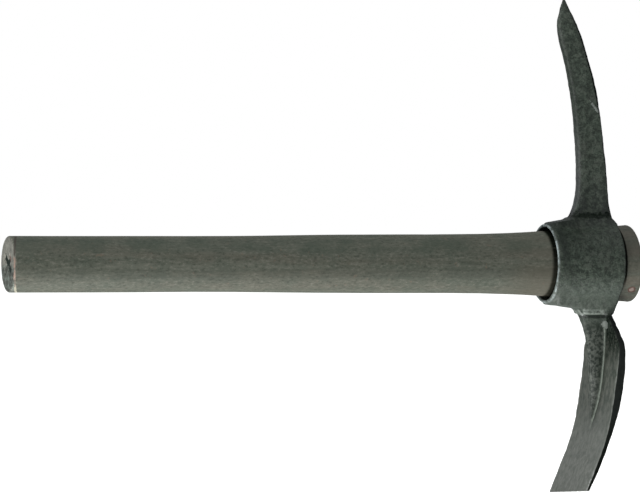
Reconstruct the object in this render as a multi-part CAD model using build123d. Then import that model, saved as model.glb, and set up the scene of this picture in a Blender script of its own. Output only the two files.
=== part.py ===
from build123d import *

import os

# Short pick-mattock: a one-piece forged steel head on a round wooden helve.
#
# The helve is a turned round bar that flares at its top, like every drop-on pick helve, and the head's eye is
# a matching taper. The head is dropped over the grip end, slid up the helve and jams on the flare. A knock
# towards the grip frees it, and it slides off over the butt. There is no wedge, pin or rivet.
#
# Frame, in millimetres: the origin is the centre of the butt face, +X runs up the helve to the head, +Z is
# the way the pick points, and the adze hangs towards -Z. The head is symmetric about the XZ plane, but for its
# cutting edge, which is worn a little out of square.

# ---- helve --------------------------------------------------------------------------------------------
HELVE_LENGTH = 391.0  # along the axis
GRIP_RADIUS = 16.5
GRIP_LENGTH = 110.0  # the truly cylindrical stretch, measured from the butt
SWELL_X = 185.0  # the helve swells a little above the grip
SWELL_RADIUS = 17.2
BELLY_X = 255.0  # it stays nearly straight up to here, then flares
BELLY_RADIUS = 17.65
TAPER_X = 330.0  # from here to the top end the flare is a straight taper
TAPER_RADIUS = 19.5
FLARE_RADIUS = 23.4  # at the top end
END_TILT = 2.0  # degrees: the top end is sawn slightly off square, longer on the adze side
END_ROUND = 1.2  # sanded edge of both end faces
SPUR_LENGTH = 17.0  # cross-shaped mark that the lathe's drive spur leaves in the butt face
SPUR_WIDTH = 2.0
SPUR_ANGLE = 35.0  # degrees between each arm of the cross and the Y axis
SPUR_DEPTH = 1.4
SPUR_HOLE_RADIUS = 1.3
SPUR_HOLE_DEPTH = 4.0

# ---- eye of the head ----------------------------------------------------------------------------------
EYE_X0 = 335.0  # grip side
EYE_X1 = 379.0  # top side
EYE_RADIUS_0 = 24.3  # outside, grip side
EYE_RADIUS_1 = 25.5  # outside, top side
LIP_ROUND = 1.2
SEAT_X = 352.0  # the two tapers touch from here to the top side
SEAT_CLEARANCE = 0.06  # radial, between the tapers when the head is home
MOUTH_GAP = 2.2  # radial, between helve and eye at the grip side
MOUTH_DEPTH = 3.0  # straight part of the bore at the grip side
RIDGE_RADIUS = 23.5  # the cheeks run tangent to this circle up to pick and adze
CHEEK_HALF = 7.2  # half thickness of the head where the cheeks end
PICK_ROOT_Z = 28.5  # where the cheeks meet the pick
ADZE_ROOT_Z = -31.0  # where the cheeks meet the adze's neck

# ---- pick: a bar of six-sided section, narrower on its inner face ------------------------------------
# z, x of the inner face, x of the outer face, half width of the inner face, half thickness, outer chamfer
PICK_SECTIONS = (
    (22.0, 348.5, 378.4, 4.0, 7.2, 1.2),
    (29.0, 352.0, 376.9, 3.7, 7.1, 1.2),
    (37.0, 355.2, 375.4, 3.4, 6.9, 1.2),
    (50.0, 356.6, 374.4, 3.2, 6.6, 1.2),
    (75.0, 355.8, 372.0, 3.0, 6.1, 1.2),
    (93.0, 354.2, 369.9, 3.0, 5.8, 1.2),
    (100.0, 353.4, 369.3, 3.0, 5.6, 2.4),
    (112.0, 351.2, 366.8, 2.9, 5.4, 2.4),
    (124.0, 348.6, 363.3, 2.8, 5.1, 2.3),
    (144.0, 343.9, 356.6, 2.4, 3.9, 1.9),
    (155.0, 345.5, 351.4, 1.1, 1.9, 0.9),
    (161.0, 347.3, 348.7, 0.3, 0.5, 0.2),
)

# ---- adze ---------------------------------------------------------------------------------------------
ADZE_BOTTOM = -140.7
ADZE_HALF_WIDTH = 28.5
SHOULDER_TOP_Z = -29.0
SHOULDER_Z = -54.0  # the blade has its full width from here down
EDGE_X = 350.9  # outer corner of the cutting edge
EDGE_THICKNESS = 0.7
EDGE_SKEW = 3.8  # degrees: the edge is worn back at its -Y corner

# ---- neck and rib, one ridge on the adze's inner face -------------------------------------------------
# z, x of the crest, x of the base, half width of the crest, half width of the base
RIB_SECTIONS = (
    (-26.0, 353.9, 377.6, 5.0, 7.6),
    (-31.5, 358.2, 376.8, 3.4, 6.8),
    (-38.0, 360.7, 375.5, 2.2, 6.2),
    (-50.0, 363.3, 375.5, 1.6, 5.6),
    (-70.0, 364.7, 374.5, 1.2, 8.2),
    (-83.0, 365.4, 372.5, 0.9, 7.0),
    (-92.0, 365.7, 370.0, 0.6, 3.4),
    (-102.0, 365.3, 367.0, 0.3, 1.0),
)

SIDE = Plane.XZ  # local x is +X, local y is +Z
FRONT = Plane.YZ  # local x is +Y, local y is +Z


def taper_radius(x):
    """Radius of the helve's straight taper at x."""
    slope = (FLARE_RADIUS - TAPER_RADIUS) / (HELVE_LENGTH - TAPER_X)
    return TAPER_RADIUS + slope * (x - TAPER_X)


def turned(*edges):
    """Solid turned about the helve's axis from an outline in the XZ plane."""
    outline = SIDE * make_face(Curve() + list(edges))
    return revolve(outline, axis=Axis.X)


def side_slab(*edges, half):
    """Side outline in the XZ plane, given thickness to both sides."""
    return extrude(SIDE * make_face(Curve() + list(edges)), amount=half, both=True)


def front_slab(*edges):
    """Front outline in the YZ plane, drawn for +Y only, mirrored and run through the whole head."""
    half = extrude(FRONT * make_face(Curve() + list(edges)), amount=2 * HELVE_LENGTH)
    return half + mirror(half, about=Plane.XZ)


def level_face(z, corners):
    """Polygon in the level plane at height z, from (x, y) corners."""
    return Plane.XY.offset(z) * make_face(Polyline(*corners, close=True))


def build_helve():
    slope = taper_radius(1.0) - taper_radius(0.0)
    blank_x = HELVE_LENGTH + 2 * END_ROUND  # before the top end is sawn off
    blank_radius = taper_radius(blank_x)
    grip = Line((0, GRIP_RADIUS), (GRIP_LENGTH, GRIP_RADIUS))
    swell = Spline(
        (GRIP_LENGTH, GRIP_RADIUS),
        (SWELL_X, SWELL_RADIUS),
        (BELLY_X, BELLY_RADIUS),
        (TAPER_X, TAPER_RADIUS),
        tangents=[(1, 0), (1, slope)],
    )
    taper = Line((TAPER_X, TAPER_RADIUS), (blank_x, blank_radius))
    closing = Polyline((blank_x, blank_radius), (blank_x, 0), (0, 0), (0, GRIP_RADIUS))
    helve = turned(grip, swell, taper, *closing.edges())
    side = 4 * FLARE_RADIUS
    waste = Box(side, side, side, align=(Align.MIN, Align.CENTER, Align.CENTER))
    helve -= Pos(HELVE_LENGTH, 0, 0) * Rot(0, -END_TILT, 0) * waste
    rims = helve.edges().sort_by(Axis.X)
    helve = fillet([rims[0], rims[-1]], END_ROUND)
    spur_arm = Box(2 * SPUR_DEPTH, SPUR_WIDTH, SPUR_LENGTH)
    for angle in (90 - SPUR_ANGLE, 90 + SPUR_ANGLE):
        helve -= Rot(angle, 0, 0) * spur_arm
    helve -= Rot(0, 90, 0) * Cylinder(SPUR_HOLE_RADIUS, 2 * SPUR_HOLE_DEPTH)
    return helve


def build_eye():
    """Outside of the eye: a round collar, and cheeks that rise from it to the pick and to the adze."""
    collar = turned(
        *Polyline(
            (EYE_X0, 0),
            (EYE_X0, EYE_RADIUS_0),
            (EYE_X1, EYE_RADIUS_1),
            (EYE_X1, 0),
            close=True,
        ).edges()
    )
    lips = collar.edges().filter_by(GeomType.CIRCLE).sort_by(Axis.X)
    collar = fillet([lips[0], lips[-1]], LIP_ROUND)
    profile = FRONT * make_hull(
        Circle(RIDGE_RADIUS).edges()
        + Polyline((-CHEEK_HALF, PICK_ROOT_Z), (CHEEK_HALF, PICK_ROOT_Z)).edges()
        + Polyline((-CHEEK_HALF, ADZE_ROOT_Z), (CHEEK_HALF, ADZE_ROOT_Z)).edges()
    )
    cheeks = extrude(profile, amount=2 * HELVE_LENGTH)
    cheek_side = Polyline(
        (EYE_X0 + 3 * LIP_ROUND, 0),
        (EYE_X0 + 3 * LIP_ROUND, EYE_RADIUS_0 + 0.5),
        (350.0, 27.0),
        (353.0, PICK_ROOT_Z + 1),
        (375.4, PICK_ROOT_Z + 1),
        (EYE_X1, EYE_RADIUS_1 - LIP_ROUND),
        (EYE_X1, -EYE_RADIUS_1 + LIP_ROUND),
        (377.6, ADZE_ROOT_Z - 1),
        (360.0, ADZE_ROOT_Z - 1),
        (357.0, -27.4),
        (EYE_X0 + 3 * LIP_ROUND, -EYE_RADIUS_0 - 0.4),
        close=True,
    )
    return collar + (cheeks & side_slab(*cheek_side.edges(), half=2 * RIDGE_RADIUS))


def build_pick():
    """Tapered bar that leaves the eye square to the helve, bows towards the grip and ends in a point."""
    sections = []
    for z, x0, x1, inner_half, half, cut in PICK_SECTIONS:
        corners = (
            (x0, -inner_half),
            (x1 - cut, -half),
            (x1, -half + cut),
            (x1, half - cut),
            (x1 - cut, half),
            (x0, inner_half),
        )
        sections.append(level_face(z, corners))
    return loft(sections)


def build_adze():
    """Broad curved blade across the helve, with rounded shoulders and a sharp edge out of square."""
    outer = Spline(
        (376.0, SHOULDER_TOP_Z),
        (377.0, -62.0),
        (372.6, -90.0),
        (361.7, -119.0),
        (EDGE_X, ADZE_BOTTOM),
        tangents=[(0.05, -1), (-0.52, -1)],
    )
    edge = Line((EDGE_X, ADZE_BOTTOM), (EDGE_X - EDGE_THICKNESS, ADZE_BOTTOM))
    inner = Spline(
        (EDGE_X - EDGE_THICKNESS, ADZE_BOTTOM),
        (353.9, -131.8),
        (358.9, -119.6),
        (365.3, -101.0),
        (368.4, -86.0),
        (370.4, -72.0),
        (372.3, -57.0),
        (373.0, -45.0),
        (372.8, SHOULDER_TOP_Z),
        tangents=[(0.35, 1), (0, 1)],
    )
    top = Line((372.8, SHOULDER_TOP_Z), (376.0, SHOULDER_TOP_Z))
    side = side_slab(outer, edge, inner, top, half=2 * ADZE_HALF_WIDTH)
    shoulder = Line((CHEEK_HALF, SHOULDER_TOP_Z), (24.5, -45.0))
    corner = Spline((24.5, -45.0), (ADZE_HALF_WIDTH, SHOULDER_Z), tangents=[(1, -1), (0, -1)])
    closing = Polyline(
        (ADZE_HALF_WIDTH, SHOULDER_Z),
        (ADZE_HALF_WIDTH, ADZE_BOTTOM - 1),
        (0, ADZE_BOTTOM - 1),
        (0, SHOULDER_TOP_Z),
        (CHEEK_HALF, SHOULDER_TOP_Z),
    )
    blade = side & front_slab(shoulder, corner, *closing.edges())
    size = 4 * ADZE_HALF_WIDTH
    worn_away = Box(8 * size, size, size, align=(Align.CENTER, Align.CENTER, Align.MAX))
    return blade - Pos(0, ADZE_HALF_WIDTH, ADZE_BOTTOM) * Rot(-EDGE_SKEW, 0, 0) * worn_away


def build_rib():
    """Neck and rib in one: as deep as the neck at the eye, it runs out on the blade's inner face."""
    sections = []
    for z, crest_x, base_x, crest_half, base_half in RIB_SECTIONS:
        corners = (
            (crest_x, -crest_half),
            (crest_x, crest_half),
            (base_x, base_half),
            (base_x, -base_half),
        )
        sections.append(level_face(z, corners))
    return loft(sections)


def build_bore():
    """The eye's tapered hole: it fits the helve's flare near the top and stands clear of it at the mouth."""
    mouth_radius = taper_radius(EYE_X0) + MOUTH_GAP
    return turned(
        *Polyline(
            (EYE_X0 - 1, 0),
            (EYE_X0 - 1, mouth_radius),
            (EYE_X0 + MOUTH_DEPTH, mouth_radius),
            (SEAT_X, taper_radius(SEAT_X) + SEAT_CLEARANCE),
            (EYE_X1 + 1, taper_radius(EYE_X1 + 1) + SEAT_CLEARANCE),
            (EYE_X1 + 1, 0),
            close=True,
        ).edges()
    )


def build_head():
    return build_eye() + build_pick() + build_adze() + build_rib() - build_bore()


os.makedirs("parts", exist_ok=True)
export_step(build_helve(), "parts/helve.step")
export_step(build_head(), "parts/head.step")
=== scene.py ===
import math

import bmesh
import bpy
import numpy as np
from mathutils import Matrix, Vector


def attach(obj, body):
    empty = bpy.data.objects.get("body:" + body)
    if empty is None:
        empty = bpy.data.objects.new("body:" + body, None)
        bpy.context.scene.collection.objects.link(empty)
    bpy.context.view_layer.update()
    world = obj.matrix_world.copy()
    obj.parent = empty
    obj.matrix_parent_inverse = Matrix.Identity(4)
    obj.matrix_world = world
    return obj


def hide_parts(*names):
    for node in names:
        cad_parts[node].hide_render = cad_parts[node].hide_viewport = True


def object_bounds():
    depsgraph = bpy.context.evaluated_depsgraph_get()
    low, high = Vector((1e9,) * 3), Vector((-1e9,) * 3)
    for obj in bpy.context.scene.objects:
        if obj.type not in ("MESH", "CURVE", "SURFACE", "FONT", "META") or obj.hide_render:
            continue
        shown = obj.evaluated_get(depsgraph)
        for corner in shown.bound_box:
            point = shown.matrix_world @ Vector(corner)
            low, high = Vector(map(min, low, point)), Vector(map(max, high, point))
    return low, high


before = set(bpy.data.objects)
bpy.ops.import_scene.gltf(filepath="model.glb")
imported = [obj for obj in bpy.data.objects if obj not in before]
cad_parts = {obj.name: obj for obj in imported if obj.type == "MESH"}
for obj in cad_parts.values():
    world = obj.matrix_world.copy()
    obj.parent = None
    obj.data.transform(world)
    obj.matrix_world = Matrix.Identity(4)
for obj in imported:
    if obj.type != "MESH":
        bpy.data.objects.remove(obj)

import openvdb as vdb
from mathutils import Vector, noise

# The looks of a short pick-mattock: a forged, painted head on a painted round helve. Shapes start from the
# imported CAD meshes. X runs along the helve from the butt, Z up the pick (the adze hangs below 0), Y across.
# Lengths and places are in millimetres, noise textures in cycles per metre and the stage in metres.
CAD_LOW, CAD_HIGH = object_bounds()
MM = 0.001
SEED = 7

# A name that ends in _X, _Y or _Z holds places on that axis. Two are a slope, from nothing at the first to
# full at the second. Four are a band, which is full between the middle two and gone at the outer ones.

# ---- head: the CAD solid as a distance field ----
VOXEL = 0.66
TRUE_VOXELS = 8  # voxels of true distance on each side of the surface
EDGE_SOFTNESS = 0.42  # blur that rounds outer edges
PICK_SOFTNESS = 1.8  # the same on the inner side of the pick
COLLAR_SOFTNESS = 1.3  # blur along the helve where the cheeks rise from the collar
EYE_FILLET = 1.7  # blur that fills inner corners of the eye
RIB_FILLET = 0.75  # the same along the rib
PICK_GROWTH = 0.45  # makes up for what the blurs take off
COLLAR_GROWTH = 0.1
BLUNT_EDGE = 0.35  # paint and wear thicken the blade by this much on each side
BORE_PLAY = 0.12  # taken off the wall of the eye

RIB_TOP_Z = (-33.0, -38.0)
PICK_INNER_Z = (30.0, 38.0)
PICK_INNER_X = (364.0, 360.0)
COLLAR_X = (336.2, 338.0, 341.0, 345.0)
COLLAR_RADIUS = (22.5, 23.5)
BORE_RADIUS = (24.0, 22.0)
THIN_BLADE_Z = (-112.0, -124.0)  # past here the blade is too thin to be blurred
THIN_POINT_Z = (150.0, 157.0)
THIN_CALM = 0.85  # share of the unevenness that is left out where the metal is thin
LUMPS = ((9.0, 0.07), (3.2, 0.045), (1.5, 0.045))  # forging unevenness: size and height of each layer

ROOT_Z = 29.0  # where the pick leaves the eye
LEDGE_Z = -30.1  # where the eye's cheeks end above the adze's neck
UNDER_LEDGE_Z = LEDGE_Z - 2.0
CHEEK_Y = (3.0, 5.0)  # hammered lines stay off the middle of the head
HAMMERED = (
    # height, half width, depth (negative where it stands out) and band along x of each hammered line
    (ROOT_Z, 1.0, 0.6, (351.0, 354.0, 374.0, 377.5)),
    (LEDGE_Z, 0.75, -0.75, (356.0, 357.5, 366.0, 370.0)),
    (UNDER_LEDGE_Z, 0.9, 0.7, (357.0, 359.0, 370.0, 375.0)),
)
FOOT_Z = (-98.0, -92.0, -83.0, -72.0, -65.0, -50.0, -38.0)  # heights at which the rib's foot line is given
FOOT_HALF = (0.3, 1.7, 4.3, 5.6, 5.4, 4.5, 5.1)  # half width of the rib's foot at those heights
FOOT_GROOVE = ((0.8, 0.3), (2.4, 0.12))  # half width and depth of the groove along it, in two layers
RIB_Z = (-101.0, -95.0, -40.0, -36.0)
RIB_INNER_X = (374.5, 373.0)
DENTS = (
    # x, y, z, radius, depth
    (369.6, -5.0, 95.2, 1.8, 0.7),
    (364.0, -6.0, 97.8, 1.3, 0.25),
    (366.2, -6.0, 95.0, 1.3, 0.3),
    (376.6, -6.0, 41.0, 2.0, 0.3),
    (362.0, 6.5, 70.0, 3.5, 0.3),
    (374.8, -16.5, -37.5, 2.2, 0.4),
    (352.5, -25.7, 4.0, 3.0, 0.2),
    (361.0, -24.8, -12.0, 2.4, 0.22),
    (366.0, 25.3, 8.0, 3.0, 0.2),
)
EDGE_SLANT = math.tan(math.radians(3.8))  # the cutting edge is worn back at its -Y corner
EDGE_NICKS = ((-20.0, 0.35), (-6.5, 0.25), (9.0, 0.45), (22.5, 0.3))  # y and radius, along the cutting edge
NICK_SINK = 0.2  # share of its radius that a nick's centre lies below the edge

EDGE_LOOK = (0.9, 0.32)  # blur that finds outer edges, and how far it moves the surface of a fully worn one
CORNER_LOOK = (2.4, 0.9)  # the same for inner corners, which get painted shade
UNWORN_STRIP = (340.0, 3.0)  # centre and half width, along x, of a strip whose edges are not rubbed
LIP_X = (335.9, 335.2)
LIP_LEAN_Z = (-11.0, -20.0)
LIP_LEAN = 0.9  # the lip's lower part reaches this much further back
RIB_LOOK_Z = (-104.0, -94.0, -37.0, -34.5)
RIB_LOOK_HALF = (0.4, -0.4)  # around the foot line
RIB_SHADE = (2.8, 3.8)  # half widths of the shade inside and outside the foot line
FAR_RIB_SHARE = 0.2  # the painted shade and highlight along the rib's foot are weak on the far side

# ---- helve ----
BUTT_MARGIN = 2.0  # points nearer to the ends than this are not taken as the side
TOP_MARGIN = 4.0
SIDE_MIN_R = 12.0
TOP_FACE_DEPTH = 3.0  # points within this of the top, and outside this radius, lie in its end face
FACE_MIN_R = 18.0
FLARE_LENGTH = 30.0  # the flare's slope is taken over this length
AROUND = 192  # points in a ring
SIDE_STEP = 1.3
CAP_STEP = 0.62
RIM_RADIUS = 1.3
RIM_STEPS = 5
EYE_SEAT_X = (346.0, 352.0, 379.0, 382.0)  # the wood is smooth and full where the eye sits on it
SEAT_PLAY = 0.05
RELIEF = (
    # height, cycles per millimetre along each axis and offset of the wood's waves and grain
    (0.14, (0.012, 0.05, 0.05), 3.0),
    (0.07, (0.02, 0.85, 0.85), 11.0),
    (0.04, (0.05, 1.7, 1.7), 23.0),
)
END_RELIEF = (0.1, (0.1, 0.9, 0.9), 41.0)
CALM_R = (4.0, 12.0)  # the wood's relief fades towards the centre of the end faces
TILT_LENGTH = 12.0  # the top end's slant fades out over this length
SPUR_ARM = 8.5  # length of each arm of the mark that a lathe's drive spur leaves in the butt
SPUR_HALF_WIDTH = 2.0
SPUR_HOLE = 1.3  # radius of the lathe centre's mark
SPUR_DEPTH = 1.3
SPUR_ANGLE = 35.0  # degrees of each arm from the Y axis
HELVE_DENTS = (
    # x, angle in degrees from +Y towards +Z, length, width, depth
    (71.0, 205.0, 5.0, 2.0, 0.22),
    (142.0, 238.0, 7.0, 2.4, 0.25),
    (216.0, 190.0, 4.0, 2.2, 0.2),
    (297.0, 222.0, 6.0, 2.0, 0.2),
    (120.0, 40.0, 8.0, 2.5, 0.3),
    (260.0, 95.0, 6.0, 2.0, 0.25),
)

# ---- paint on the head: places ----
LIGHTER_LOW_Z = (-60.0, -31.0, -20.0, -4.0)
SHADE_Z = (-2.0, 18.0, 28.0, 34.0)
SHADE_X = (368.0, 346.0)
BEHIND_LIP_X = (337.2, 338.5, 340.0, 344.0)
BEHIND_LIP_Z = (-12.0, 4.0)
LIP_TOP_Z = (20.0, 7.0)
LIP_SIDE_Z = (7.0, 1.0)
LIP_FOOT_Z = (-21.0, -12.0)
ROOT_SHADE_Z = (20.0, 26.0, 30.0, 60.0)
CREASE_Z = ROOT_Z + 0.2
CREASE_WANDER = 7.0
PURPLE_Z = (24.0, 34.0)
PURPLE_FADE_Z = (105.0, 50.0)
HIGH_PICK_Z = (55.0, 90.0)
PICK_TIP_Z = (143.0, 132.0)
LEDGE_PAINT_Z = LEDGE_Z + 0.4
LEDGE_PAINT_X = (373.5, 369.5)
UNDER_PAINT_Z = UNDER_LEDGE_Z - 0.1
UNDER_PAINT_X = (378.0, 374.0)
NECK_Z = (-62.0, -50.0, -35.0, -31.0)
SHOULDER_Y = (-6.2, -8.5)
SHOULDER_Z = (-66.0, -43.0, -34.0, -30.0)
RIB_PAINT_Z = (-30.0, -44.0)
WING_Z = (-36.0, -44.0)
WING_FADE_Z = (-108.0, -80.0)
SIDE_FACE_Y = (9.0, 12.0)
SIDE_FACE_Z = (-31.0, -34.0)
SIDE_TONE_Z = (-85.0, -115.0)
SCUFF_HIGH_Z = (-120.0, -60.0)
USED_Z = (-50.0, -84.0)
BROKEN_Z = (-50.0, -100.0)
BACK_Z = (-95.0, -132.0)
RUB_Z = (-56.0, -64.0)
RIM_Y = (26.6, 27.7)
RIM_Z = (-106.0, -116.0)
GLINT_Z = (-118.0, -130.0)
EDGE_HEIGHT = (1.6, 0.6)  # above the cutting edge
CHIPS = (
    # place and size of spots where the paint is knocked off
    # the first stands for a small facet catching light beside the rib, so it is a painted highlight as well
    # as a chip
    ((372.2, -7.2, -37.4), 4.6),
    ((357.5, -4.0, -31.2), 3.4),
    ((362.0, -6.0, 103.0), 1.6),
)
GOUGES = (
    # both ends and strength of the scrapes near the pick's outer edge
    ((362.8, -6.0, 99.3), (367.9, -5.4, 92.6), 0.8),
    ((361.0, -6.2, 108.0), (362.4, -6.1, 100.5), 0.5),
)
GOUGE_SIZE = 1.6
GOUGE_STEPS = 7

# ---- paint on the helve: places ----
UPPER_SIDE_Z = (4.5, 9.5, 13.5, 15.5)
LOWER_SIDE_Z = (-10.5, -7.5, -4.0, -1.0)
BROWN_X = (270.0, 385.0)
HANDLED_X = (295.0, 325.0, 335.0, 345.0)
HANDLED_Z = (2.0, -6.0)
RAGGED_REACH = 30.0  # how far the streaks pull the ends of the painted shadow at the eye along the helve
MOUTH_X = (332.1, 334.6)  # painted shadow, with some dirt, in the gap where the helve goes into the eye
MOUTH_INNER_X = (350.0, 337.0)
MOUTH_Z = (-6.0, 10.0)
EXIT_X = (381.1, 380.3)  # the same where it comes out
EXIT_INNER_X = (366.0, 378.0)
EXIT_Z = (-17.0, -7.0)
SEAT_X = (336.0, 350.0, 368.0, 379.5)
END_DIRT_X = (376.0, 380.0)
END_DIRT_Z = (-10.0, 12.0)
BUTT_HALF_X = (200.0, 100.0)
BUTT_LOWER_Z = (1.0, -3.0)
BUTT_END_X = (9.0, 7.0)
WORN_END_Z = (5.5, 3.5)
EDGE_LINE = (4.0, 4.5, 5.3, 5.8)  # to the right of the butt's centre in the main view
WORN_IN = (4.8, 4.3)
WORN_IN_Z = (0.0, -3.0)
RIM_SHADOW_Z = (3.0, 6.0)
PALE_BARE_Z = (-11.5, -14.0)
TOP_CHIP = (385.7, -16.7, -16.0)
TOP_CHIP_SIZE = 4.2

# ---- tones, as linear red, green and blue ----
HEAD_TONES = dict(
    paint_dark=(0.012, 0.019, 0.012),
    paint_light=(0.05, 0.068, 0.049),
    grit_light=(0.082, 0.104, 0.08),
    grit_dark=(0.006, 0.01, 0.007),
    patch=(0.05, 0.046, 0.043),
    blotch_light=(0.08, 0.094, 0.074),
    blotch_dark=(0.012, 0.018, 0.012),
    lighter_low=(0.085, 0.105, 0.086),
    shade=(0.008, 0.013, 0.009),
    scuff_dark=(0.128, 0.139, 0.122),
    scuff_light=(0.2, 0.208, 0.187),
    scuff_grit=(0.2, 0.2, 0.18),
    scuff_blotch=(0.088, 0.1, 0.084),
    scuff_high=(0.058, 0.07, 0.056),
    rib_dark=(0.02, 0.028, 0.021),
    rib_light=(0.12, 0.133, 0.112),
    wing_dark=(0.026, 0.036, 0.026),
    wing_light=(0.126, 0.13, 0.11),
    # root to side_low are painted shade: at the pick's root and high on its grip side, on sides that look
    # away from the grip, in the crease, on the shoulder, in corners and on the adze's side faces; purple is
    # painted light on the pick's lit grip side
    root=(0.01, 0.014, 0.011),
    away=(0.008, 0.01, 0.009),
    crease=(0.005, 0.008, 0.006),
    purple=(0.076, 0.078, 0.081),
    shoulder=(0.008, 0.012, 0.009),
    corner_shade=(0.012, 0.017, 0.013),
    side_high=(0.014, 0.016, 0.015),
    side_low=(0.005, 0.006, 0.005),
    rubbed=(0.19, 0.2, 0.182),
    # glint and valley are painted highlights, ledge a painted highlight on rubbed paint, and under painted
    # shade
    glint=(0.4, 0.41, 0.395),
    edge=(0.06, 0.064, 0.056),
    valley=(0.25, 0.28, 0.24),
    ledge=(0.22, 0.25, 0.22),
    under=(0.008, 0.011, 0.009),
    chip=(0.2, 0.22, 0.2),
    bare=(0.52, 0.6, 0.6),
)
HELVE_TONES = dict(
    paint_dark=(0.072, 0.081, 0.06),
    paint_light=(0.106, 0.113, 0.088),
    brown_streak=(0.108, 0.097, 0.073),
    green_cloud=(0.06, 0.078, 0.058),
    speck_light=(0.17, 0.168, 0.136),
    speck_dark=(0.032, 0.037, 0.026),
    pore=(0.058, 0.058, 0.045),
    warm=(0.17, 0.12, 0.085),
    upper=(0.04, 0.056, 0.038),
    lower=(0.056, 0.06, 0.046),
    brown=(0.12, 0.104, 0.08),
    handled=(0.078, 0.07, 0.05),
    seat=(0.034, 0.027, 0.02),
    scraped=(0.15, 0.105, 0.07),
    dirt=(0.046, 0.042, 0.034),
    # painted shadow and some dirt where the helve meets the eye
    grime_and_shadow=(0.002, 0.003, 0.002),
    end_dark=(0.12, 0.12, 0.103),
    end_light=(0.31, 0.305, 0.262),
    end_lower=(0.066, 0.08, 0.068),
    end_speck=(0.034, 0.042, 0.034),
    stain_dark=(0.012, 0.018, 0.014),
    stain_light=(0.19, 0.235, 0.205),
    spur=(0.01, 0.019, 0.014),
    pale_arm=(0.19, 0.135, 0.115),
    grey_arm=(0.11, 0.115, 0.1),
    # painted shadow along the upper part of the butt's near rim
    painted_rim_shadow=(0.036, 0.028, 0.022),
    bare_dark=(0.25, 0.175, 0.135),
    bare_light=(0.36, 0.265, 0.215),
    bare_pale=(0.4, 0.38, 0.29),
    chip_rim=(0.095, 0.045, 0.033),
    chip=(0.28, 0.215, 0.185),
)
FLOOR_TONES = dict(dim=(0.86, 0.86, 0.85), bright=(0.89, 0.89, 0.885))
GLOSSY_TO_MATT = (1.5, 1.02)  # index of refraction: near 1 nothing is mirrored, so painted shade and shadow stay dark

# ---- camera and stage, in metres ----
CAMERA_AZIMUTH = math.radians(-18.6)
CAMERA_DISTANCE = 2.504
CAMERA_LENS = 236.25  # this and the sensor's width are millimetres
SENSOR_WIDTH = 36.0
TARGET_SHIFT = Vector((-0.0042, 0.0, -0.0001))
FLOOR_SIZE = 30.0
FLOOR_DROP = 0.0004
FLOOR_SUN = 3.4
FILL_TONE = (0.95, 0.98, 1.0, 1.0)
WHITE = (1.0, 1.0, 1.0, 1.0)
FILL_STRENGTH = 0.36
LIGHTS = (
    # name, direction from the object's centre, distance, width and height, power
    ("key", (-0.8, -0.52, -0.3), 1.6, (0.55, 0.55), 13.0),
    ("low", (-0.18, -0.1, -0.98), 1.5, (1.3, 0.7), 28.0),
    ("high", (-0.3, -0.22, 0.92), 1.8, (1.6, 0.9), 17.0),
)


def ramp(value, start, end):
    """0 at start, 1 at end, smooth in between."""
    t = np.clip((value - start) / (end - start), 0.0, 1.0)
    return t * t * (3.0 - 2.0 * t)


def band(value, start, full, fade, end):
    """0 outside start and end, 1 between full and fade."""
    return ramp(value, start, full) * ramp(value, end, fade)


def hump(value, centre, width):
    return np.exp(-(((value - centre) / width) ** 2))


def blend(share, a, b):
    return a * (1.0 - share) + b * share


def cad_mesh(node):
    """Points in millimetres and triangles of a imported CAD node."""
    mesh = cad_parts[node].data
    mesh.calc_loop_triangles()
    points = np.empty(len(mesh.vertices) * 3, np.float32)
    mesh.vertices.foreach_get("co", points)
    triangles = np.empty(len(mesh.loop_triangles) * 3, np.int32)
    mesh.loop_triangles.foreach_get("vertices", triangles)
    return points.reshape(-1, 3) / MM, triangles.reshape(-1, 3).astype(np.uint32)


def add_object(name, data):
    obj = bpy.data.objects.new(name, data)
    bpy.context.scene.collection.objects.link(obj)
    return obj


def make_mesh(name, points, quads, attributes):
    """A smooth-shaded mesh object with one number per point for each attribute."""
    mesh = bpy.data.meshes.new(name)
    mesh.vertices.add(len(points))
    mesh.vertices.foreach_set("co", (points * MM).astype(np.float32).ravel())
    mesh.loops.add(quads.size)
    mesh.loops.foreach_set("vertex_index", quads.astype(np.int32).ravel())
    mesh.polygons.add(len(quads))
    mesh.polygons.foreach_set("loop_start", np.arange(0, quads.size, 4, dtype=np.int32))
    mesh.update(calc_edges=True)
    mesh.validate()
    mesh.shade_smooth()
    for key, values in attributes.items():
        layer = mesh.attributes.new(key, "FLOAT", "POINT")
        layer.data.foreach_set("value", values.astype(np.float32))
    return add_object(name, mesh)


# ---- the head's shape ----
def blur(values, size, axes=(0, 1, 2)):
    """Gaussian blur of a distance field."""
    sigma = size / VOXEL
    reach = math.ceil(2.6 * sigma)
    weights = np.exp(-0.5 * (np.arange(-reach, reach + 1) / sigma) ** 2)
    weights = (weights / weights.sum()).astype(np.float32)
    for axis in axes:
        wide = np.pad(values, [(reach, reach) if a == axis else (0, 0) for a in range(3)], mode="edge")
        wide = np.moveaxis(wide, axis, 0)
        count = wide.shape[0] - 2 * reach
        total = np.zeros((count,) + wide.shape[1:], np.float32)
        for i, weight in enumerate(weights):
            total += weight * wide[i:i + count]
        values = np.moveaxis(total, 0, axis)
    return values


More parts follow.
